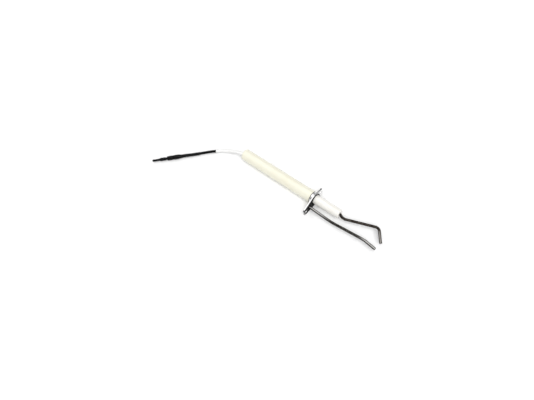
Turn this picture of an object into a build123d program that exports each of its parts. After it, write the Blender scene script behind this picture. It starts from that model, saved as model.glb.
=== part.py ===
from build123d import *
import os
from math import pi, radians, tan

os.makedirs("parts", exist_ok=True)

# Ignition electrode for a gas burner: two ceramic insulators, a flange, two rods and a short lead.
# Frame: +X runs along the insulators towards the spark tips, +Z is up, and -Y is the earth rod's side.
# The origin is where the insulator's axis meets the front face of the flange. Millimetres.

# Flange: a plate shaped like an oval diamond, with a bush brazed into it
plate_thickness = 1.5
plate_length = 27.0
plate_offset = -2.7
plate_mid_y = -1.2
plate_mid_radius = 6.0
plate_end_radius = 3.6
plate_edge_round = 0.25
screw_spacing = 20.0
screw_hole_radius = 1.7
bush_radius = 4.8
bush_bore_radius = 3.5
bush_rear_x = -3.5
bush_recess = 0.2
gasket_thickness = 0.4
gasket_radius = 4.9

# Rear insulator
tube_radius = 5.0
tube_bore_radius = 3.2
tube_length = 73.0
tube_rear_round = 0.7
tube_front_round = 0.25
tube_front_x = bush_rear_x - gasket_thickness
tube_rear_x = tube_front_x - tube_length

# Front insulator: the nose, a waist inside the bush, and a spigot cemented into the rear insulator
nose_radius = 3.9
nose_length = 23.5
nose_end_round = 0.5
spigot_radius = 2.8
spigot_length = 18.0
insulator_bore_radius = 1.3
mouth_radius = 1.7
mouth_depth = 0.5
cement_cup_radius = 2.0
cement_cup_depth = 4.0
spigot_rear_x = tube_front_x - spigot_length

# Rods, both lying in the plane z = 0
rod_radius = 1.1
rod_end_round = 0.15
spark_rod_rear_x = -31.5
spark_rod_points = [(spark_rod_rear_x, 0), (23.9, 0), (26.1, -1.0), (28.9, -1.2), (54.4, 7.6), (62.3, -2.1)]
spark_bend_radii = [4.0, 5.0, 5.0, 4.0]
earth_rod_y = -8.4
earth_rod_points = [(-plate_thickness, earth_rod_y), (3, earth_rod_y), (21.5, -9.1), (50.6, -6.8), (61.4, -8.1)]
earth_bend_radii = [60.0, 60.0, 30.0]
weld_height = 0.6
weld_radius = 1.35

# Splice between the spark rod and the lead, inside the rear insulator
ferrule_radius = 1.7
ferrule_rear_x = -38.5
ferrule_length = 13.0
ferrule_web = 1.0
crimp_depth = 0.25
crimp_length = 2.2
crimp_offsets = (3.0, 10.0)
core_radius = 0.6
core_rear_x = -45.0

# Lead: an insulated wire in a heat-resistant sleeve
wire_radius = 1.15
sleeve_radius = 1.45
sleeve_bore_radius = 1.2
sleeve_start_x = -62.0
inner_bend_x = (-48.0, -58.0)
inner_bend_radius = 20.0
seal_length = 10.0
seal_recess = 0.6
lead_exit = (tube_rear_x, -0.9, -0.4)
lead_points = [
    lead_exit,
    (-81.8, -0.9, -0.4),
    (-89.0, -3.0, -1.8),
    (-96.8, -6.1, -3.2),
    (-106.4, -12.2, -4.2),
    (-112.6, -17.5, -4.5),
    (-119.4, -24.0, -4.4),
    (-124.7, -28.65, -3.85),
    (-130.0, -33.4, -3.85),
]
arc_share = 0.45
sleeve_end_share = 0.75
boot_start_share = 0.5

# Terminal: distances along its axis, from the end of the wire's insulation
boot_radius = 1.45
barrel_end = 9.5
barrel_radius = 1.65
barrel_end_chamfer = 0.5
barrel_bore_depth = 5.5
shank_radius = 1.15
collar_start = 13.4
collar_end = 19.4
collar_radius = 1.45
collar_lead_in = 0.4
collar_run_out = 0.6
neck_radius = 0.97
neck_end = 25.0
ball_radius = 1.1
ball_lead_in = 0.25
ball_run_out = 0.6
tip_end = 26.5
tip_radius = 0.6
tip_round = 0.1
shrink_start = -2.0
shrink_end = 11.6
shrink_radius = 2.1
shrink_toe_length = 3.5
shrink_toe_radius = 1.6
shrink_heel_length = 3.1
shrink_heel_radius = 1.85


def save(part, label):
    part.label = label
    export_step(part, f"parts/{label}.step")


def bend_radii(points):
    """One radius for each corner of a route, as large as its two runs allow."""
    vectors = [Vector(*point) for point in points]
    radii = []
    for before, corner, after in zip(vectors, vectors[1:], vectors[2:]):
        turn = (corner - before).get_angle(after - corner)
        shorter = min((corner - before).length, (after - corner).length)
        radii.append(arc_share * shorter / tan(radians(turn) / 2))
    return radii


def between(start, end, share):
    return tuple(a + (b - a) * share for a, b in zip(start, end))


# Flange plate

with BuildPart() as mounting_flange:
    with BuildSketch(Plane.YZ.offset(-plate_thickness)):
        end_offset = plate_length / 2 - plate_end_radius
        with Locations((plate_mid_y, 0)):
            Circle(plate_mid_radius)
        with Locations((plate_offset - end_offset, 0), (plate_offset + end_offset, 0)):
            Circle(plate_end_radius)
        make_hull()
        Circle(bush_radius, mode=Mode.SUBTRACT)
        with Locations((earth_rod_y, 0)):
            Circle(rod_radius, mode=Mode.SUBTRACT)
        with Locations((plate_offset, 0)):
            with GridLocations(screw_spacing, 0, 2, 1):
                Circle(screw_hole_radius, mode=Mode.SUBTRACT)
    extrude(amount=plate_thickness)
    rims = [face.outer_wire().edges() for face in mounting_flange.faces().filter_by(Axis.X)]
    fillet(rims, plate_edge_round)
save(mounting_flange.part, "mounting_flange")

with BuildPart() as flange_bush:
    with BuildSketch(Plane.YZ.offset(bush_rear_x)):
        Circle(bush_radius)
        Circle(bush_bore_radius, mode=Mode.SUBTRACT)
    extrude(amount=-bush_recess - bush_rear_x)
save(flange_bush.part, "flange_bush")

with BuildPart() as insulator_gasket:
    with BuildSketch(Plane.YZ.offset(tube_front_x)):
        Circle(gasket_radius)
        Circle(bush_bore_radius, mode=Mode.SUBTRACT)
    extrude(amount=gasket_thickness)
save(insulator_gasket.part, "insulator_gasket")

# Insulators and the cement that holds them

with BuildPart() as rear_insulator:
    with BuildSketch(Plane.YZ.offset(tube_rear_x)):
        Circle(tube_radius)
        Circle(tube_bore_radius, mode=Mode.SUBTRACT)
    extrude(amount=tube_length)
    end_faces = rear_insulator.faces().filter_by(Axis.X).sort_by(Axis.X)
    fillet(end_faces[0].outer_wire().edges(), tube_rear_round)
    end_faces = rear_insulator.faces().filter_by(Axis.X).sort_by(Axis.X)
    fillet(end_faces[-1].outer_wire().edges(), tube_front_round)
save(rear_insulator.part, "rear_insulator")

with BuildPart() as front_insulator:
    with BuildSketch(Plane.XZ):
        with BuildLine():
            Polyline(
                (spigot_rear_x, insulator_bore_radius),
                (spigot_rear_x, spigot_radius),
                (tube_front_x, spigot_radius),
                (tube_front_x, bush_bore_radius),
                (-bush_recess, bush_bore_radius),
                (-bush_recess, nose_radius),
                (nose_length, nose_radius),
                (nose_length, mouth_radius),
                (nose_length - mouth_depth, insulator_bore_radius),
                close=True,
            )
        make_face()
    revolve(axis=Axis.X)
    with BuildSketch(Plane.YZ.offset(spigot_rear_x)):
        Circle(cement_cup_radius)
    extrude(amount=cement_cup_depth, mode=Mode.SUBTRACT)
    nose_face = front_insulator.faces().filter_by(Axis.X).sort_by(Axis.X)[-1]
    fillet(nose_face.outer_wire().edges(), nose_end_round)
save(front_insulator.part, "front_insulator")

with BuildPart() as insulator_cement:
    with BuildSketch(Plane.YZ.offset(spigot_rear_x)):
        Circle(tube_bore_radius)
        Circle(spigot_radius, mode=Mode.SUBTRACT)
    extrude(amount=spigot_length)
save(insulator_cement.part, "insulator_cement")

with BuildPart() as rod_cement:
    with BuildSketch(Plane.YZ.offset(spigot_rear_x)):
        Circle(cement_cup_radius)
        Circle(rod_radius, mode=Mode.SUBTRACT)
    extrude(amount=cement_cup_depth)
save(rod_cement.part, "rod_cement")

# Spark rod, earth rod and the weld that holds the earth rod at the back of the plate


def rod(points, radii):
    """A round rod bent in the plane z = 0, with its square-cut ends just broken."""
    with BuildPart() as bent_rod:
        with BuildLine() as route:
            FilletPolyline(*points, radius=radii)
        with BuildSketch(Plane(origin=route.line @ 0, z_dir=route.line % 0)):
            Circle(rod_radius)
        sweep(path=route.line)
        tip = bent_rod.faces().filter_by(GeomType.PLANE).sort_by(Axis.X)[-1]
        fillet(tip.edges(), rod_end_round)
    return bent_rod.part


save(rod(spark_rod_points, spark_bend_radii), "spark_rod")
save(rod(earth_rod_points, earth_bend_radii), "earth_rod")

with BuildPart() as earth_rod_weld:
    with BuildSketch(Plane.XY):
        with BuildLine():
            foot = (-plate_thickness, earth_rod_y)
            crown = (-plate_thickness - weld_height, earth_rod_y)
            Polyline(crown, foot, (-plate_thickness, earth_rod_y - weld_radius))
            dome_radius = (weld_radius**2 + weld_height**2) / (2 * weld_height)
            RadiusArc((-plate_thickness, earth_rod_y - weld_radius), crown, dome_radius)
        make_face()
    revolve(axis=Axis((0, earth_rod_y, 0), (1, 0, 0)))
save(earth_rod_weld.part, "earth_rod_weld")

# Splice inside the rear insulator

with BuildPart() as splice_ferrule:
    with BuildSketch(Plane.YZ.offset(ferrule_rear_x)):
        Circle(ferrule_radius)
    extrude(amount=ferrule_length)
    with BuildSketch(Plane.YZ.offset(spark_rod_rear_x)):
        Circle(rod_radius)
    extrude(amount=ferrule_rear_x + ferrule_length - spark_rod_rear_x, mode=Mode.SUBTRACT)
    core_front_x = spark_rod_rear_x - ferrule_web
    with BuildSketch(Plane.YZ.offset(ferrule_rear_x)):
        Circle(core_radius)
    extrude(amount=core_front_x - ferrule_rear_x, mode=Mode.SUBTRACT)
    for offset in crimp_offsets:
        crimp_x = ferrule_rear_x + offset
        with Locations((crimp_x, 0, ferrule_radius), (crimp_x, 0, -ferrule_radius)):
            Box(crimp_length, 2 * ferrule_radius, 2 * crimp_depth, mode=Mode.SUBTRACT)
save(splice_ferrule.part, "splice_ferrule")

with BuildPart() as splice_core:
    with BuildSketch(Plane.YZ.offset(core_rear_x)):
        Circle(core_radius)
    extrude(amount=core_front_x - core_rear_x)
save(splice_core.part, "splice_core")

# Lead, from the splice to the terminal


def along_route(label, points, radii, outer_radius, bore_radius=0.0):
    """A round wire or tube along straight runs joined by tangent arcs."""
    with BuildPart() as tube:
        with BuildLine() as route:
            FilletPolyline(*points, radius=radii)
        with BuildSketch(Plane(origin=route.line @ 0, z_dir=route.line % 0)):
            Circle(outer_radius)
            if bore_radius:
                Circle(bore_radius, mode=Mode.SUBTRACT)
        sweep(path=route.line)
    length = sum(edge.length for edge in route.edges())
    ideal = pi * (outer_radius**2 - bore_radius**2) * length
    print(f"{label}: length {length:.2f}, volume {tube.part.volume:.2f} against {ideal:.2f}")
    save(tube.part, label)


_, exit_y, exit_z = lead_exit
bend_front_x, bend_rear_x = inner_bend_x
inner_points = [(core_rear_x, 0, 0), (bend_front_x, 0, 0), (bend_rear_x, exit_y, exit_z), lead_exit]
along_route("lead_inner", inner_points, [inner_bend_radius, inner_bend_radius], wire_radius)

lead_radii = bend_radii(lead_points)
print("lead bend radii:", [round(radius, 1) for radius in lead_radii])
along_route("lead_wire", lead_points, lead_radii, wire_radius)

sleeve_end = between(lead_points[3], lead_points[4], sleeve_end_share)
sleeve_points = [(sleeve_start_x, exit_y, exit_z), *lead_points[1:4], sleeve_end]
along_route("heat_sleeve", sleeve_points, lead_radii[:3], sleeve_radius, sleeve_bore_radius)

boot_start = between(lead_points[5], lead_points[6], boot_start_share)
boot_points = [boot_start, *lead_points[6:]]
along_route("wire_boot", boot_points, lead_radii[5:], boot_radius, wire_radius)

with BuildPart() as rear_seal:
    with BuildSketch(Plane.YZ.offset(tube_rear_x + seal_recess)):
        Circle(tube_bore_radius)
        with Locations((exit_y, exit_z)):
            Circle(sleeve_radius, mode=Mode.SUBTRACT)
    extrude(amount=seal_length)
save(rear_seal.part, "rear_seal")

# Terminal, turned about the line on which the wire ends

wire_end = Vector(*lead_points[-1])
terminal_direction = (wire_end - Vector(*lead_points[-2])).normalized()
terminal_plane = Plane(origin=wire_end, x_dir=terminal_direction, z_dir=(0, 0, 1))
terminal_axis = Axis(wire_end, terminal_direction)

with BuildPart() as terminal_pin:
    with BuildSketch(terminal_plane):
        with BuildLine():
            Polyline(
                (barrel_bore_depth, 0),
                (barrel_bore_depth, core_radius),
                (0, core_radius),
                (0, barrel_radius),
                (barrel_end - barrel_end_chamfer, barrel_radius),
                (barrel_end, shank_radius),
                (collar_start, shank_radius),
                (collar_start + collar_lead_in, collar_radius),
                (collar_end - collar_run_out, collar_radius),
                (collar_end, neck_radius),
                (neck_end, neck_radius),
                (neck_end + ball_lead_in, ball_radius),
                (tip_end - ball_run_out, ball_radius),
                (tip_end - tip_round, tip_radius),
                (tip_end, 0),
                close=True,
            )
        make_face()
    revolve(axis=terminal_axis)
save(terminal_pin.part, "terminal_pin")

with BuildPart() as terminal_core:
    with BuildSketch(Plane(origin=wire_end, z_dir=terminal_direction)):
        Circle(core_radius)
    extrude(amount=barrel_bore_depth)
save(terminal_core.part, "terminal_core")

with BuildPart() as terminal_shrink:
    with BuildSketch(terminal_plane):
        with BuildLine():
            Polyline(
                (shrink_start, boot_radius),
                (shrink_start, shrink_toe_radius),
                (shrink_start + shrink_toe_length, shrink_radius),
                (shrink_end - shrink_heel_length, shrink_radius),
                (shrink_end, shrink_heel_radius),
                (shrink_end, shank_radius),
                (barrel_end, shank_radius),
                (barrel_end - barrel_end_chamfer, barrel_radius),
                (0, barrel_radius),
                (0, boot_radius),
                close=True,
            )
        make_face()
    revolve(axis=terminal_axis)
save(terminal_shrink.part, "terminal_shrink")
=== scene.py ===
from math import cos, exp, radians, sin, tau

import bpy
from mathutils import Matrix, Vector, noise


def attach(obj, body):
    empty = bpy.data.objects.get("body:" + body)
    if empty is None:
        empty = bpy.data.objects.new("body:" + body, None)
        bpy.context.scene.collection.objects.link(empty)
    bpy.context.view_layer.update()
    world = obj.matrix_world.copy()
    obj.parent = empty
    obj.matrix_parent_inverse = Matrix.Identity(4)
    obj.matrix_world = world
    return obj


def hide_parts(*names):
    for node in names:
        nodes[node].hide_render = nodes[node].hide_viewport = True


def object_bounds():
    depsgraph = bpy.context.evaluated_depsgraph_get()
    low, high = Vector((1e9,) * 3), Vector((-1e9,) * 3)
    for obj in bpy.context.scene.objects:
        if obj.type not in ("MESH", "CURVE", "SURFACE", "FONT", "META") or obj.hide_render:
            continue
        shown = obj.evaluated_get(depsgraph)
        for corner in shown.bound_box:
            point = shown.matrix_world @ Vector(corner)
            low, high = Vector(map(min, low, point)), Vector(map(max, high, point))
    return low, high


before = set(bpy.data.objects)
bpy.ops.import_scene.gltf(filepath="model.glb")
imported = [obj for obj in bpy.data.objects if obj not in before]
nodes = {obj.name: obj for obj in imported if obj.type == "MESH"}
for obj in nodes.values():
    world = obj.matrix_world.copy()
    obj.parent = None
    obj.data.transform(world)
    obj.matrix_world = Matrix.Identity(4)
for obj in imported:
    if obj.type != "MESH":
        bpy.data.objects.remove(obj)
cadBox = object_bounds()
mm = 0.001
print("frame loaded:", len(nodes), "nodes")

# camera, floor and light

studio = {
    "cameraAt": (130.1, -96.3, 359.8),  # mm
    "lookAt": (-36.1, -21.6, -6.0),
    "roll": -29.55,  # degrees about the line of sight
    "lens": 32.94,
    "sensor": 36.0,
    "floorSize": 30.0,  # m
    "floorColour": (0.90, 0.90, 0.90, 1),
    "floorRoughness": 0.9,
    "lights": {  # where each comes from, its strength, and how wide it is in degrees
        "keyLight": ((0.4, -0.16, 0.9), 2.65, 48),
        "rimLight": ((-0.43, 0.17, 0.87), 1.15, 68),
    },
    "overhead": 0.12,
    "horizon": 0.55,
    "horizonBand": 0.34,  # sine of the height at which the pale band ends
}


def buildCamera(s):
    camera = bpy.data.cameras.new("camera")
    camera.lens = s["lens"]
    camera.sensor_width = s["sensor"]
    camera.clip_start = 0.01
    eye = bpy.data.objects.new("camera", camera)
    bpy.context.scene.collection.objects.link(eye)
    eye.location = Vector(s["cameraAt"]) * mm
    sight = (Vector(s["lookAt"]) * mm - eye.location).to_track_quat("-Z", "Y")
    eye.rotation_mode = "QUATERNION"
    eye.rotation_quaternion = sight @ Matrix.Rotation(radians(s["roll"]), 3, "Z").to_quaternion()
    bpy.context.scene.camera = eye


def buildFloor(s):
    low = cadBox[0].z
    half = s["floorSize"] / 2
    corners = [(-half, -half, low), (half, -half, low), (half, half, low), (-half, half, low)]
    sheet = bpy.data.meshes.new("floor")
    sheet.from_pydata(corners, [], [(0, 1, 2, 3)])
    floor = bpy.data.objects.new("floor", sheet)
    bpy.context.scene.collection.objects.link(floor)
    paint = bpy.data.materials.new("floorPaint")
    paint.use_nodes = True
    shader = paint.node_tree.nodes["Principled BSDF"]
    shader.inputs["Base Color"].default_value = s["floorColour"]
    shader.inputs["Roughness"].default_value = s["floorRoughness"]
    sheet.materials.append(paint)


def buildLight(s):
    # two wide soft lights in a room that is pale at the horizon and darker overhead
    for name, (source, strength, spread) in s["lights"].items():
        light = bpy.data.lights.new(name, "SUN")
        light.energy = strength
        light.angle = radians(spread)
        lamp = bpy.data.objects.new(name, light)
        bpy.context.scene.collection.objects.link(lamp)
        lamp.rotation_euler = Vector(source).to_track_quat("Z", "Y").to_euler()

    world = bpy.data.worlds.new("studio")
    world.use_nodes = True
    tree = world.node_tree
    sky = tree.nodes.new("ShaderNodeTexCoord")
    height = tree.nodes.new("ShaderNodeSeparateXYZ")
    tree.links.new(sky.outputs["Generated"], height.inputs["Vector"])
    band = tree.nodes.new("ShaderNodeMapRange")
    band.interpolation_type = "SMOOTHSTEP"
    band.inputs["From Max"].default_value = s["horizonBand"]
    band.inputs["To Min"].default_value = s["horizon"]
    band.inputs["To Max"].default_value = s["overhead"]
    tree.links.new(height.outputs["Z"], band.inputs["Value"])
    tree.links.new(band.outputs["Result"], tree.nodes["Background"].inputs["Strength"])
    tree.nodes["Background"].inputs["Color"].default_value = (1, 1, 1, 1)
    bpy.context.scene.world = world
    bpy.context.scene.view_settings.view_transform = "Standard"


buildCamera(studio)
buildFloor(studio)
buildLight(studio)
print("studio ready")

# shader groups


def newGroup(name, inputs, outputs):
    group = bpy.data.node_groups.new(name, "ShaderNodeTree")
    for label, kind, value in inputs:
        socket = group.interface.new_socket(label, in_out="INPUT", socket_type=kind)
        socket.default_value = value
    for label, kind in outputs:
        group.interface.new_socket(label, in_out="OUTPUT", socket_type=kind)
    return group, group.nodes.new("NodeGroupInput"), group.nodes.new("NodeGroupOutput")


def wire(tree, fromSocket, toSocket):
    tree.links.new(fromSocket, toSocket)


def feed(tree, value, socket):
    # a value is a socket to link, or a plain number or colour
    if hasattr(value, "is_linked"):
        wire(tree, value, socket)
    else:
        socket.default_value = value


def noiseNode(tree, vector, scale, detail=3.0, rough=0.55):
    made = tree.nodes.new("ShaderNodeTexNoise")
    made.inputs["Detail"].default_value = detail
    made.inputs["Roughness"].default_value = rough
    wire(tree, vector, made.inputs["Vector"])
    feed(tree, scale, made.inputs["Scale"])
    return made.outputs["Fac"]


def rampNode(tree, factor, low, high):
    # 0 at low and 1 at high, held at both ends
    made = tree.nodes.new("ShaderNodeMapRange")
    made.inputs["From Min"].default_value = low
    made.inputs["From Max"].default_value = high
    wire(tree, factor, made.inputs["Value"])
    return made.outputs["Result"]


def mathNode(tree, operation, first, second):
    made = tree.nodes.new("ShaderNodeMath")
    made.operation = operation
    feed(tree, first, made.inputs[0])
    feed(tree, second, made.inputs[1])
    return made.outputs["Value"]


def centred(tree, value):
    # noise runs from 0 to 1, and this puts its middle at 0
    return mathNode(tree, "SUBTRACT", value, 0.5)


def inverse(tree, value):
    return mathNode(tree, "SUBTRACT", 1.0, value)


def addScaled(tree, base, extra, amount):
    return mathNode(tree, "ADD", base, mathNode(tree, "MULTIPLY", extra, amount))


def mixColour(tree, factor, first, second):
    made = tree.nodes.new("ShaderNodeMix")
    made.data_type = "RGBA"
    feed(tree, factor, made.inputs[0])
    feed(tree, first, made.inputs[6])  # the mix node's first and second colours
    feed(tree, second, made.inputs[7])
    return made.outputs[2]


finishOutputs = [
    ("Colour", "NodeSocketColor"),
    ("Roughness", "NodeSocketFloat"),
    ("Height", "NodeSocketFloat"),
]

glazeLook = {  # scales are features per metre
    "driftScale": 90.0,
    "driftRange": (0.35, 0.75),
    "speckScale": 420.0,
    "speckRange": (0.09, 0.03),
    "rareScale": 260.0,
    "rareRange": (0.6, 0.72),
    "rippleScale": 700.0,
    "rippleSwing": 0.22,  # how far the ripple moves the roughness
    "rippleHeight": 0.25,
    "slowScale": 160.0,
}


def makeGlazeGroup(look):
    # fired ceramic: broad colour drift, sparse specks, and the faint ripple of a glaze
    group, given, result = newGroup(
        "firedGlaze",
        [
            ("Body", "NodeSocketColor", (0.9, 0.88, 0.8, 1)),
            ("Shade", "NodeSocketColor", (0.8, 0.76, 0.66, 1)),
            ("Speck", "NodeSocketColor", (0.35, 0.28, 0.2, 1)),
            ("Roughness", "NodeSocketFloat", 0.3),
        ],
        finishOutputs,
    )
    place = group.nodes.new("ShaderNodeTexCoord").outputs["Object"]
    drift = rampNode(group, noiseNode(group, place, look["driftScale"]), *look["driftRange"])
    body = mixColour(group, drift, given.outputs["Body"], given.outputs["Shade"])
    speckle = group.nodes.new("ShaderNodeTexVoronoi")
    speckle.inputs["Scale"].default_value = look["speckScale"]
    wire(group, place, speckle.inputs["Vector"])
    dot = rampNode(group, speckle.outputs["Distance"], *look["speckRange"])
    rare = noiseNode(group, place, look["rareScale"], detail=1.0)
    rare = rampNode(group, rare, *look["rareRange"])
    dot = mathNode(group, "MULTIPLY", dot, rare)
    wire(group, mixColour(group, dot, body, given.outputs["Speck"]), result.inputs["Colour"])
    ripple = noiseNode(group, place, look["rippleScale"], detail=2.0)
    swing = centred(group, ripple)
    rough = addScaled(group, given.outputs["Roughness"], swing, look["rippleSwing"])
    wire(group, rough, result.inputs["Roughness"])
    slow = noiseNode(group, place, look["slowScale"], detail=2.0)
    wire(group, addScaled(group, slow, ripple, look["rippleHeight"]), result.inputs["Height"])
    return group


drawnLook = {
    "stretch": (0.06, 1.0, 1.0),  # draws the streaks out along X
    "streakScale": 2600.0,
    "blotchScale": 330.0,
    "coverRange": (0.25, 0.75),
    "grainRoughness": 0.5,
    "oxideRoughness": 0.18,
    "blotchHeight": 0.4,
}


def makeDrawnGroup(look):
    # drawn or rolled metal: streaks along X and blotches of oxide
    group, given, result = newGroup(
        "drawnMetal",
        [
            ("Metal", "NodeSocketColor", (0.5, 0.5, 0.5, 1)),
            ("Oxide", "NodeSocketColor", (0.15, 0.13, 0.12, 1)),
            ("Oxide Amount", "NodeSocketFloat", 0.5),
            ("Roughness", "NodeSocketFloat", 0.35),
            ("Streaks", "NodeSocketFloat", 0.5),
        ],
        finishOutputs,
    )
    place = group.nodes.new("ShaderNodeTexCoord").outputs["Object"]
    stretch = group.nodes.new("ShaderNodeMapping")
    stretch.inputs["Scale"].default_value = look["stretch"]
    wire(group, place, stretch.inputs["Vector"])
    streak = noiseNode(group, stretch.outputs["Vector"], look["streakScale"], detail=2.0)
    blotch = noiseNode(group, place, look["blotchScale"], detail=4.0, rough=0.65)
    amount = given.outputs["Oxide Amount"]
    cover = mathNode(group, "ADD", blotch, amount)
    cover = mathNode(group, "SUBTRACT", cover, inverse(group, amount))
    cover = rampNode(group, cover, *look["coverRange"])
    colour = mixColour(group, cover, given.outputs["Metal"], given.outputs["Oxide"])
    wire(group, colour, result.inputs["Colour"])
    grain = mathNode(group, "MULTIPLY", centred(group, streak), given.outputs["Streaks"])
    rough = addScaled(group, given.outputs["Roughness"], grain, look["grainRoughness"])
    rough = addScaled(group, rough, cover, look["oxideRoughness"])
    wire(group, rough, result.inputs["Roughness"])
    wire(group, addScaled(group, grain, blotch, look["blotchHeight"]), result.inputs["Height"])
    return group


skinLook = {
    "dustScale": 500.0,
    "dustRange": (0.48, 0.8),
    "dustRoughness": 0.6,
    "grainHeight": 0.35,
    "broadScale": 450.0,
}


def makeSkinGroup(look):
    # silicone and shrink tubing: fine grain with a little dust on it
    group, given, result = newGroup(
        "softSkin",
        [
            ("Base", "NodeSocketColor", (0.03, 0.03, 0.03, 1)),
            ("Dust", "NodeSocketColor", (0.2, 0.2, 0.2, 1)),
            ("Dust Amount", "NodeSocketFloat", 0.2),
            ("Roughness", "NodeSocketFloat", 0.5),
            ("Grain Scale", "NodeSocketFloat", 2500.0),
        ],
        finishOutputs,
    )
    place = group.nodes.new("ShaderNodeTexCoord").outputs["Object"]
    dust = noiseNode(group, place, look["dustScale"], detail=4.0, rough=0.7)
    dust = rampNode(group, dust, *look["dustRange"])
    dust = mathNode(group, "MULTIPLY", dust, given.outputs["Dust Amount"])
    colour = mixColour(group, dust, given.outputs["Base"], given.outputs["Dust"])
    wire(group, colour, result.inputs["Colour"])
    grain = noiseNode(group, place, given.outputs["Grain Scale"], detail=2.0)
    rough = addScaled(group, given.outputs["Roughness"], dust, look["dustRoughness"])
    wire(group, rough, result.inputs["Roughness"])
    broad = noiseNode(group, place, look["broadScale"], detail=2.0)
    wire(group, addScaled(group, broad, grain, look["grainHeight"]), result.inputs["Height"])
    return group


markLook = {
    "raggedScale": 380.0,
    "raggedReach": 0.004,  # m
    "frontBlend": 0.0001,
    "upward": (0, 0.02, 1),
    "upwardRange": (0.87, 0.98),  # how squarely a face looks up
}


def makeMarkGroup(look):
    # a ragged patch round one place and ahead of one plane, used for a weld's heat tint and for
    # painted dark reflection, shade and highlights; with Upper Only at 1 it keeps to the side that
    # faces up, where it paints a highlight
    group, given, result = newGroup(
        "surfaceMark",
        [
            ("Centre", "NodeSocketVector", (0, 0, 0)),
            ("Radius", "NodeSocketFloat", 0.009),
            ("Fade", "NodeSocketFloat", 0.003),
            ("Front", "NodeSocketFloat", -0.0003),
            ("Upper Only", "NodeSocketFloat", 0.0),
        ],
        [("Mask", "NodeSocketFloat")],
    )
    place = group.nodes.new("ShaderNodeTexCoord").outputs["Object"]
    away = group.nodes.new("ShaderNodeVectorMath")
    away.operation = "DISTANCE"
    wire(group, place, away.inputs[0])
    wire(group, given.outputs["Centre"], away.inputs[1])
    ragged = noiseNode(group, place, look["raggedScale"], detail=4.0, rough=0.6)
    reach = addScaled(group, away.outputs["Value"], centred(group, ragged), look["raggedReach"])
    past = mathNode(group, "SUBTRACT", given.outputs["Radius"], reach)
    bloom = rampNode(group, mathNode(group, "DIVIDE", past, given.outputs["Fade"]), 0.0, 1.0)
    axes = group.nodes.new("ShaderNodeSeparateXYZ")
    wire(group, place, axes.inputs["Vector"])
    ahead = mathNode(group, "SUBTRACT", axes.outputs["X"], given.outputs["Front"])
    facing = rampNode(group, ahead, 0.0, look["frontBlend"])
    bloom = mathNode(group, "MULTIPLY", bloom, facing)
    slope = group.nodes.new("ShaderNodeVectorMath")
    slope.operation = "DOT_PRODUCT"
    normal = group.nodes.new("ShaderNodeTexCoord").outputs["Normal"]
    wire(group, normal, slope.inputs[0])
    slope.inputs[1].default_value = look["upward"]
    lower = inverse(group, rampNode(group, slope.outputs["Value"], *look["upwardRange"]))
    lost = mathNode(group, "MULTIPLY", lower, given.outputs["Upper Only"])
    mask = mathNode(group, "MULTIPLY", bloom, inverse(group, lost))
    wire(group, mask, result.inputs["Mask"])
    return group


glazeGroup = makeGlazeGroup(glazeLook)
drawnGroup = makeDrawnGroup(drawnLook)
skinGroup = makeSkinGroup(skinLook)
markGroup = makeMarkGroup(markLook)
print("shader groups ready")

# materials


def finish(name, group, values, bump, bumpDistance, **fixed):
    # fixed values go on the shader's own sockets, with _ for a space
    material = bpy.data.materials.new(name)
    material.use_nodes = True
    tree = material.node_tree
    shader = tree.nodes["Principled BSDF"]
    effect = tree.nodes.new("ShaderNodeGroup")
    effect.node_tree = group
    for label, value in values.items():
        effect.inputs[label].default_value = value
    wire(tree, effect.outputs["Colour"], shader.inputs["Base Color"])
    wire(tree, effect.outputs["Roughness"], shader.inputs["Roughness"])
    relief = tree.nodes.new("ShaderNodeBump")
    relief.inputs["Strength"].default_value = bump
    relief.inputs["Distance"].default_value = bumpDistance
    wire(tree, effect.outputs["Height"], relief.inputs["Height"])
    wire(tree, relief.outputs["Normal"], shader.inputs["Normal"])
    for label, value in fixed.items():
        shader.inputs[label.replace("_", " ")].default_value = value
    return material


def addMark(material, tint, roughness, place, paintedDark=False):
    # lays a mark over a finished material's colour and roughness, and can take away its metal under
    # the mark, so that a near-black mark paints a dark reflection and shade
    tree = material.node_tree
    shader = tree.nodes["Principled BSDF"]
    mark = tree.nodes.new("ShaderNodeGroup")
    mark.node_tree = markGroup
    for label, value in place.items():
        mark.inputs[label].default_value = value
    mask = mark.outputs["Mask"]
    under = shader.inputs["Base Color"].links[0].from_socket
    wire(tree, mixColour(tree, mask, under, tint), shader.inputs["Base Color"])
    under = shader.inputs["Roughness"].links[0].from_socket
    wire(tree, addScaled(tree, under, mask, roughness), shader.inputs["Roughness"])
    if paintedDark:
        wire(tree, inverse(tree, mask), shader.inputs["Metallic"])


tubeGlaze = finish(
    "tubeGlaze",
    glazeGroup,
    {
        "Body": (0.845, 0.83, 0.70, 1),
        "Shade": (0.82, 0.79, 0.64, 1),
        "Speck": (0.45, 0.33, 0.2, 1),
        "Roughness": 0.34,
    },
    bump=0.25,
    bumpDistance=0.0002,
    Coat_Weight=0.35,
    Coat_Roughness=0.12,
)
noseGlaze = finish(
    "noseGlaze",
    glazeGroup,
    {
        "Body": (0.88, 0.87, 0.83, 1),
        "Shade": (0.85, 0.83, 0.77, 1),
        "Speck": (0.5, 0.42, 0.34, 1),
        "Roughness": 0.3,
    },
    bump=0.2,
    bumpDistance=0.0002,
    Coat_Weight=0.35,
    Coat_Roughness=0.1,
)
cement = finish(
    "refractoryCement",
    glazeGroup,
    {
        "Body": (0.72, 0.68, 0.6, 1),
        "Shade": (0.6, 0.55, 0.47, 1),
        "Speck": (0.3, 0.26, 0.2, 1),
        "Roughness": 0.85,
    },
    bump=0.8,
    bumpDistance=0.0005,
)
flangeSteel = finish(
    "polishedSteel",
    drawnGroup,
    {
        "Metal": (0.90, 0.90, 0.90, 1),
        "Oxide": (0.55, 0.54, 0.53, 1),
        "Oxide Amount": 0.35,
        "Roughness": 0.16,
        "Streaks": 0.35,
    },
    bump=0.12,
    bumpDistance=0.00005,
    Metallic=1.0,
    Specular_IOR_Level=0.08,
)
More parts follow.
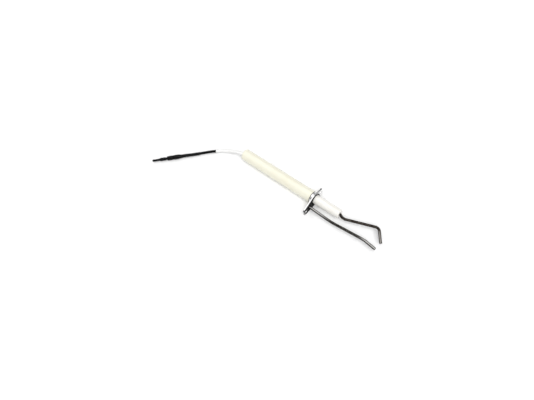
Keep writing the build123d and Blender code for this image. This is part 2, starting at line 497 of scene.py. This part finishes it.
bushSteel = finish(
    "turnedSteel",
    drawnGroup,
    {
        "Metal": (0.86, 0.86, 0.86, 1),
        "Oxide": (0.62, 0.61, 0.60, 1),
        "Oxide Amount": 0.3,
        "Roughness": 0.38,
        "Streaks": 0.3,
    },
    bump=0.1,
    bumpDistance=0.00005,
    Metallic=1.0,
    Specular_IOR_Level=0.08,
)
weldTint = {  # m
    "Centre": (-0.0015, -0.0084, 0),
    "Radius": 0.0036,
    "Fade": 0.0016,
    "Front": -0.01,
}
# painted dark reflection: the plate's front face is painted near-black round the nose's root and
# the earth rod's foot, with its metal taken away there
plateDarkReflection = {"Centre": (0, -0.0055, 0), "Radius": 0.0118, "Front": -0.0005}
# painted shade: the bush's front face is painted near-black, as a dark ring round the nose's root
bushPaintedShade = {"Radius": 0.02, "Fade": 0.003, "Front": -0.0006}
addMark(flangeSteel, (0.30, 0.23, 0.17, 1), 0.1, weldTint)
addMark(flangeSteel, (0.004, 0.004, 0.004, 1), 0.3, plateDarkReflection, paintedDark=True)
addMark(bushSteel, (0.006, 0.005, 0.005, 1), 0.3, bushPaintedShade, paintedDark=True)
sparkAlloy = finish(
    "oxidisedSparkRod",
    drawnGroup,
    {
        "Metal": (0.145, 0.13, 0.112, 1),
        "Oxide": (0.032, 0.026, 0.021, 1),
        "Oxide Amount": 0.6,
        "Roughness": 0.3,
        "Streaks": 0.5,
    },
    bump=0.3,
    bumpDistance=0.0001,
    Metallic=1.0,
)
# painted highlight: the spark rod is painted lighter near its tip, mostly on the side that faces up
sparkTipHighlight = {
    "Centre": (0.063, -0.003, 0),
    "Radius": 0.0115,
    "Fade": 0.004,
    "Front": 0,
    "Upper Only": 0.85,
}
addMark(sparkAlloy, (0.34, 0.32, 0.30, 1), 0.0, sparkTipHighlight)
earthAlloy = finish(
    "drawnEarthRod",
    drawnGroup,
    {
        "Metal": (0.11, 0.105, 0.095, 1),
        "Oxide": (0.025, 0.022, 0.018, 1),
        "Oxide Amount": 0.55,
        "Roughness": 0.3,
        "Streaks": 0.5,
    },
    bump=0.3,
    bumpDistance=0.0001,
    Metallic=1.0,
)
# painted highlights: the earth rod is painted lighter on the side that faces up, near its tip and
# near its foot
earthTipHighlight = {
    "Centre": (0.062, -0.008, 0),
    "Radius": 0.0165,
    "Fade": 0.007,
    "Front": 0,
    "Upper Only": 1,
}
earthFootHighlight = {
    "Centre": (0.001, -0.008, 0),
    "Radius": 0.020,
    "Fade": 0.012,
    "Front": 0,
    "Upper Only": 1,
}
# lays the painted highlights on the earth rod's upper side
for highlightPlace in (earthTipHighlight, earthFootHighlight):
    addMark(earthAlloy, (0.55, 0.54, 0.52, 1), -0.1, highlightPlace)
weldMetal = finish(
    "weldMetal",
    drawnGroup,
    {
        "Metal": (0.46, 0.43, 0.40, 1),
        "Oxide": (0.10, 0.075, 0.065, 1),
        "Oxide Amount": 0.5,
        "Roughness": 0.28,
        "Streaks": 0.1,
    },
    bump=0.7,
    bumpDistance=0.0003,
    Metallic=1.0,
)
blackMetal = finish(
    "blackenedPin",
    drawnGroup,
    {
        "Metal": (0.035, 0.035, 0.038, 1),
        "Oxide": (0.006, 0.006, 0.007, 1),
        "Oxide Amount": 0.6,
        "Roughness": 0.34,
        "Streaks": 0.3,
    },
    bump=0.2,
    bumpDistance=0.0001,
    Metallic=0.85,
)
copper = finish(
    "tinnedCopper",
    drawnGroup,
    {
        "Metal": (0.78, 0.52, 0.38, 1),
        "Oxide": (0.42, 0.25, 0.18, 1),
        "Oxide Amount": 0.4,
        "Roughness": 0.3,
        "Streaks": 0.8,
    },
    bump=0.4,
    bumpDistance=0.0001,
    Metallic=1.0,
)
blackWire = finish(
    "blackSilicone",
    skinGroup,
    {
        "Base": (0.002, 0.002, 0.0022, 1),
        "Dust": (0.035, 0.035, 0.035, 1),
        "Dust Amount": 0.06,
        "Roughness": 0.45,
        "Grain Scale": 2600.0,
    },
    bump=0.2,
    bumpDistance=0.0001,
    Specular_IOR_Level=0.08,
)
blackShrink = finish(
    "blackShrink",
    skinGroup,
    {
        "Base": (0.002, 0.002, 0.0022, 1),
        "Dust": (0.05, 0.05, 0.05, 1),
        "Dust Amount": 0.1,
        "Roughness": 0.34,
        "Grain Scale": 1800.0,
    },
    bump=0.35,
    bumpDistance=0.0002,
    Specular_IOR_Level=0.12,
)
whiteSleeve = finish(
    "whiteSleeve",
    skinGroup,
    {
        "Base": (0.85, 0.85, 0.84, 1),
        "Dust": (0.66, 0.65, 0.62, 1),
        "Dust Amount": 0.35,
        "Roughness": 0.45,
        "Grain Scale": 2200.0,
    },
    bump=0.25,
    bumpDistance=0.0001,
)
paleSeal = finish(
    "paleSeal",
    skinGroup,
    {
        "Base": (0.78, 0.76, 0.70, 1),
        "Dust": (0.55, 0.52, 0.46, 1),
        "Dust Amount": 0.4,
        "Roughness": 0.55,
        "Grain Scale": 1500.0,
    },
    bump=0.4,
    bumpDistance=0.0002,
)
# a near-black gasket finish that paints the shade where the collar meets the tube's front face
paintedShadeGasket = finish(
    "paintedShadeGasket",
    skinGroup,
    {
        "Base": (0.02, 0.018, 0.017, 1),
        "Dust": (0.12, 0.11, 0.1, 1),
        "Dust Amount": 0.4,
        "Roughness": 0.8,
        "Grain Scale": 3000.0,
    },
    bump=0.6,
    bumpDistance=0.0002,
)
print("materials ready")

# CAD nodes that stay as they are

cadFinish = {
    "rear_insulator": tubeGlaze,
    "front_insulator": noseGlaze,
    "insulator_cement": cement,
    "rod_cement": cement,
    "mounting_flange": flangeSteel,
    "flange_bush": bushSteel,
    "insulator_gasket": paintedShadeGasket,
    "spark_rod": sparkAlloy,
    "earth_rod": earthAlloy,
    "splice_ferrule": copper,
    "splice_core": copper,
    "terminal_core": copper,
    "lead_inner": blackWire,
}


def dress(node, material):
    piece = nodes[node]
    piece.data.materials.clear()
    piece.data.materials.append(material)


for nodeName, nodeMaterial in cadFinish.items():
    dress(nodeName, nodeMaterial)
print("CAD nodes dressed")

# mesh helpers


def link(name, data, material):
    piece = bpy.data.objects.new(name, data)
    bpy.context.scene.collection.objects.link(piece)
    data.materials.append(material)
    return piece


def ringMesh(name, rings, material, closed=False, sharp=40):
    # skins a row of rings; a closed row joins its last ring to its first, and an open one is capped
    count = len(rings[0])
    points = [tuple(point) for ring in rings for point in ring]
    faces = []
    last = len(rings)
    for i in range(last if closed else last - 1):
        a = i * count
        b = ((i + 1) % last) * count
        for k in range(count):
            n = (k + 1) % count
            faces.append((a + k, b + k, b + n, a + n))
    if not closed:
        for ring, start, flip in ((rings[0], 0, False), (rings[-1], (last - 1) * count, True)):
            centre = len(points)
            points.append(tuple(sum((Vector(p) for p in ring), Vector()) / count))
            for k in range(count):
                a, b = start + k, start + (k + 1) % count
                faces.append((centre, b, a) if flip else (centre, a, b))
    mesh = bpy.data.meshes.new(name)
    mesh.from_pydata(points, [], faces)
    mesh.validate()
    mesh.shade_smooth()
    mesh.set_sharp_from_angle(angle=radians(sharp))
    return link(name, mesh, material)


def railFrames(points):
    # a place, a direction and two cross directions at each point of a path, without twist
    frames = []
    side = None
    for i, point in enumerate(points):
        ahead = points[min(i + 1, len(points) - 1)]
        behind = points[max(i - 1, 0)]
        along = (ahead - behind).normalized()
        if side is None:
            side = along.cross(Vector((0, 0, 1))).normalized()
        side = (side - along * side.dot(along)).normalized()
        frames.append((point, along, side, along.cross(side)))
    return frames


def ringAt(railFrame, radius, count, shift=0.0):
    # radius is a number or a function of the angle
    point, along, side, other = railFrame
    ring = []
    for k in range(count):
        angle = tau * k / count
        r = radius(angle) if callable(radius) else radius
        ring.append(point + along * shift + (side * cos(angle) + other * sin(angle)) * r)
    return ring


def lengths(points):
    total = [0.0]
    for a, b in zip(points, points[1:]):
        total.append(total[-1] + (b - a).length)
    return total


def pointAt(points, distance):
    # the point that lies this far along a path, which runs on straight past its end
    run = lengths(points)
    i = 0
    while i < len(run) - 2 and run[i + 1] < distance:
        i += 1
    a, b = points[i], points[i + 1]
    return a + (b - a) * ((distance - run[i]) / (run[i + 1] - run[i]))


def cut(points, start, end, step):
    count = max(2, round((end - start) / step) + 1)
    return [pointAt(points, start + (end - start) * i / (count - 1)) for i in range(count)]


def profileAt(profile, distance):
    # straight lines between (distance, radius) pairs
    for (x0, r0), (x1, r1) in zip(profile, profile[1:]):
        if distance <= x1:
            return r0 + (r1 - r0) * max(0.0, distance - x0) / (x1 - x0)
    return profile[-1][1]


def smoothProfile(profile, distance, reach):
    samples = [profileAt(profile, distance + reach * (i - 2) / 2) for i in range(5)]
    return sum(samples) / 5


def lumps(point, scale, amount):
    return noise.noise(point * scale) * amount


# lead: a black wire, with a sleeve, a boot and a terminal on it

lead = {
    "route": [  # mm
        (-76.9, -0.9, -0.4),
        (-81.8, -0.9, -0.4),
        (-89.0, -3.0, -1.8),
        (-96.8, -6.1, -3.2),
        (-106.4, -12.2, -4.2),
        (-112.6, -17.5, -4.5),
        (-119.4, -24.0, -4.4),
        (-124.7, -28.65, -3.85),
        (-130.0, -33.4, -3.85),
    ],
    "wireRadius": 1.15,
    "steps": 16,
    "roundness": 8,
}
route = [Vector(point) * mm for point in lead["route"]]


def buildLead():
    curve = bpy.data.curves.new("lead_wire_cord", "CURVE")
    curve.dimensions = "3D"
    curve.resolution_u = lead["steps"]
    spline = curve.splines.new("NURBS")
    spline.points.add(len(route) - 1)
    for knot, place in zip(spline.points, route):
        knot.co = (*place, 1)
    spline.order_u = 3
    spline.use_endpoint_u = True
    piece = link("lead_wire_cord", curve, blackWire)
    bare = bpy.data.meshes.new_from_object(piece)
    path = [vertex.co.copy() for vertex in bare.vertices]
    bpy.data.meshes.remove(bare)
    curve.bevel_depth = lead["wireRadius"] * mm
    curve.bevel_resolution = lead["roundness"]
    curve.use_fill_caps = True
    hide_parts("lead_wire")
    return piece, path


leadWire, leadPath = buildLead()
leadLength = lengths(leadPath)[-1]
print("lead wire:", round(leadLength / mm, 1), "mm")

sleeve = {  # mm
    "straightFrom": -62.0,  # x of its end inside the tube
    "free": 29.2,
    "outer": 1.45,
    "inner": 1.2,
    "flare": 0.07,
    "flareLength": 0.8,
    "lipInset": 0.12,
    "lipReach": 0.1,
    "step": 0.2,
    "sides": 60,
    "braidPitch": 0.95,
    "braidDepth": 0.028,
    "braidInset": 0.01,
    "strands": 10,
}


def buildSleeve(s):
    start = Vector((s["straightFrom"], lead["route"][0][1], lead["route"][0][2])) * mm
    hidden = (route[0] - start).length
    path = [start] + leadPath
    total = hidden + s["free"] * mm
    rails = railFrames(cut(path, 0, total, s["step"] * mm))
    count = len(rails)
    outside, inside = [], []
    for i, railFrame in enumerate(rails):
        distance = total * i / (count - 1) / mm
        toEnd = total / mm - distance
        flare = s["flare"] * exp(-toEnd / s["flareLength"])

        def outer(angle):
            turn = tau * distance / s["braidPitch"] / 2
            weave = sin(s["strands"] * angle / 2 + turn) * sin(s["strands"] * angle / 2 - turn)
            return (s["outer"] - s["braidInset"] + flare + s["braidDepth"] * weave) * mm

        outside.append(ringAt(railFrame, outer, s["sides"]))
        inside.append(ringAt(railFrame, s["inner"] * mm, s["sides"]))
    endLip = ringAt(rails[-1], (s["outer"] - s["lipInset"]) * mm, s["sides"], s["lipReach"] * mm)
    rings = outside + [endLip] + inside[::-1]
    piece = ringMesh("heat_sleeve_braided", rings, whiteSleeve, closed=True)
    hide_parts("heat_sleeve")
    return piece


heatSleeve = buildSleeve(sleeve)

boot = {  # mm
    "start": 45.0,  # along the wire from the tube
    "profile": [(0, 1.21), (0.5, 1.36), (2.5, 1.42), (9, 1.35), (13, 1.45), (19, 1.44)],
    "inner": 1.155,
    "smoothing": 0.6,
    "lump": 0.05,
    "lumpScale": 300,
    "sides": 40,
    "step": 0.4,
}


def buildBoot(s):
    first = s["start"] * mm
    rails = railFrames(cut(leadPath, first, leadLength, s["step"] * mm))
    count = len(rails)
    outside, inside = [], []
    for i, railFrame in enumerate(rails):
        distance = (leadLength - first) * i / (count - 1) / mm
        base = smoothProfile(s["profile"], distance, s["smoothing"])

        def outer(angle):
            point = railFrame[0] + (railFrame[2] * cos(angle) + railFrame[3] * sin(angle)) * mm
            return (base + lumps(point, s["lumpScale"], s["lump"])) * mm

        outside.append(ringAt(railFrame, outer, s["sides"]))
        inside.append(ringAt(railFrame, s["inner"] * mm, s["sides"]))
    piece = ringMesh("wire_boot_shrunk", outside + inside[::-1], blackShrink, closed=True)
    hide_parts("wire_boot")
    return piece


wireBoot = buildBoot(boot)

wireEnd = route[-1]
terminalAlong = (route[-1] - route[-2]).normalized()
terminalSide = terminalAlong.cross(Vector((0, 0, 1))).normalized()


def terminalRail(distance):
    place = wireEnd + terminalAlong * (distance * mm)
    return (place, terminalAlong, terminalSide, terminalAlong.cross(terminalSide))


shrink = {  # mm from the wire's end, towards the pin's tip
    "start": -2.0,
    "end": 11.6,
    "profile": [
        (-2, 1.5),
        (-1.2, 1.62),
        (1.2, 2.02),
        (4.5, 2.05),
        (6.5, 1.9),
        (9.5, 2.05),
        (11.6, 1.9),
    ],
    "innerProfile": [
        (-2, 1.45),
        (-0.05, 1.45),
        (0, 1.65),
        (9, 1.65),
        (9.5, 1.17),
        (11.6, 1.17),
    ],
    "lump": 0.14,
    "lumpScale": 420,
    "smoothing": 0.5,
    "largest": 2.1,
    "crimp": {"at": 6.3, "width": 1.6, "depth": 0.14},
    "wrinkle": {"at": 10.3, "reach": 1.4, "height": 0.05, "turn": 5.2, "skew": 1.3},
    "step": 0.17,
    "sides": 56,
}


def buildShrink(s):
    crimp, wrinkle = s["crimp"], s["wrinkle"]
    count = round((s["end"] - s["start"]) / s["step"]) + 1
    outside, inside = [], []
    for i in range(count):
        distance = s["start"] + (s["end"] - s["start"]) * i / (count - 1)
        railFrame = terminalRail(distance)
        base = smoothProfile(s["profile"], distance, s["smoothing"])
        pinch = exp(-((distance - crimp["at"]) ** 2) / crimp["width"]) * crimp["depth"]
        fold = exp(-abs(distance - wrinkle["at"]) / wrinkle["reach"]) * wrinkle["height"]

        def outer(angle):
            point = railFrame[0] + (railFrame[2] * cos(angle) + railFrame[3] * sin(angle)) * mm
            ripple = fold * sin(distance * wrinkle["turn"] + wrinkle["skew"] * sin(angle))
            size = base + lumps(point, s["lumpScale"], s["lump"]) + ripple - pinch * abs(sin(angle))
            return min(size, s["largest"]) * mm

        outside.append(ringAt(railFrame, outer, s["sides"]))
        inside.append(ringAt(railFrame, profileAt(s["innerProfile"], distance) * mm, s["sides"]))
    piece = ringMesh("terminal_shrink_tube", outside + inside[::-1], blackShrink, closed=True)
    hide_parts("terminal_shrink")
    return piece


terminalShrink = buildShrink(shrink)

pin = {  # mm
    "profile": [  # distance from the wire's end, radius
        (0.0, 0.6),
        (0.0, 1.5),
        (0.12, 1.65),
        (2.0, 1.65),
        (2.4, 1.5),
        (4.0, 1.5),
        (4.4, 1.65),
        (9.0, 1.65),
        (9.4, 1.25),
        (9.6, 1.15),
        (13.2, 1.15),
        (13.45, 1.2),
        (13.8, 1.39),
        (14.1, 1.45),
        (15.9, 1.45),
        (16.1, 1.38),
        (16.4, 1.38),
        (16.6, 1.45),
        (18.5, 1.45),
        (18.9, 1.38),
        (19.3, 1.1),
        (19.5, 0.98),
        (24.7, 0.97),
        (24.95, 1.02),
        (25.2, 1.09),
        (25.6, 1.1),
        (26.0, 1.03),
        (26.3, 0.8),
        (26.45, 0.5),
        (26.5, 0.15),
    ],
    "boreDepth": 5.5,
    "boreRadius": 0.6,
    "sides": 48,
}


def buildPin(s):
    rings = [ringAt(terminalRail(s["boreDepth"]), s["boreRadius"] * mm, s["sides"])]
    for distance, radius in s["profile"]:
        rings.append(ringAt(terminalRail(distance), radius * mm, s["sides"]))
    piece = ringMesh("terminal_pin_turned", rings, blackMetal, sharp=30)
    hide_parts("terminal_pin")
    return piece


terminalPin = buildPin(pin)
print("lead and terminal ready")

# potting in the rear insulator's mouth, and the earth rod's weld

seal = {  # mm
    "rearX": -76.3,
    "frontX": -66.3,
    "radius": 3.19,
    "hole": 1.45,
    "sag": 0.45,
    "wobble": 0.1,
    "wobbleScale": 0.9,
    "sides": 64,
    "rows": 14,
}


def buildSeal(s):
    centre = Vector(lead["route"][0][1:])
    rings = []
    for x, hollow in ((s["frontX"], False), (s["rearX"], True)):
        rows = range(s["rows"] + 1)
        for i in rows if not hollow else reversed(rows):
            share = i / s["rows"]
            ring = []
            for k in range(s["sides"]):
                angle = tau * k / s["sides"]
                spoke = Vector((cos(angle), sin(angle)))
                place = (centre + s["hole"] * spoke).lerp(s["radius"] * spoke, share)
                depth = 0.0
                if hollow:
                    depth = s["sag"] * 4 * share * (1 - share)
                    depth += lumps(place.to_3d(), s["wobbleScale"], s["wobble"])
                ring.append(Vector((x + depth, place.x, place.y)) * mm)
            rings.append(ring)
    piece = ringMesh("rear_seal_potting", rings, paleSeal, closed=True)
    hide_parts("rear_seal")
    return piece


weld = {  # mm
    "faceX": -1.5,
    "y": -8.4,
    "radius": 1.35,
    "height": 0.552,
    "lobes": 3,
    "lobeDepth": 0.05,
    "lobeTurn": 0.7,
    "ripple": 0.04,
    "rippleTurn": 24,
    "rows": 12,
    "sides": 40,
}


def buildWeld(s):
    rings = []
    for i in range(s["rows"]):
        share = 1 - i / s["rows"]
        ring = []
        for k in range(s["sides"]):
            angle = tau * k / s["sides"]
            lobe = (1 + sin(s["lobes"] * angle + s["lobeTurn"])) / 2
            edge = s["radius"] * (1 - s["lobeDepth"] * lobe)
            dome = s["height"] * (1 - share**2) + s["ripple"] * sin(share * s["rippleTurn"])
            reach = edge * share
            spot = (s["faceX"] - max(dome, 0), s["y"] + reach * cos(angle), reach * sin(angle))
            ring.append(Vector(spot) * mm)
        rings.append(ring)
    piece = ringMesh("earth_rod_weld_bead", rings, weldMetal, sharp=60)
    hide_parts("earth_rod_weld")
    return piece


rearSeal = buildSeal(seal)
rodWeld = buildWeld(weld)
print("seal and weld ready")

for piece in (leadWire, heatSleeve, wireBoot, terminalShrink, terminalPin, rearSeal, rodWeld):
    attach(piece, "root")
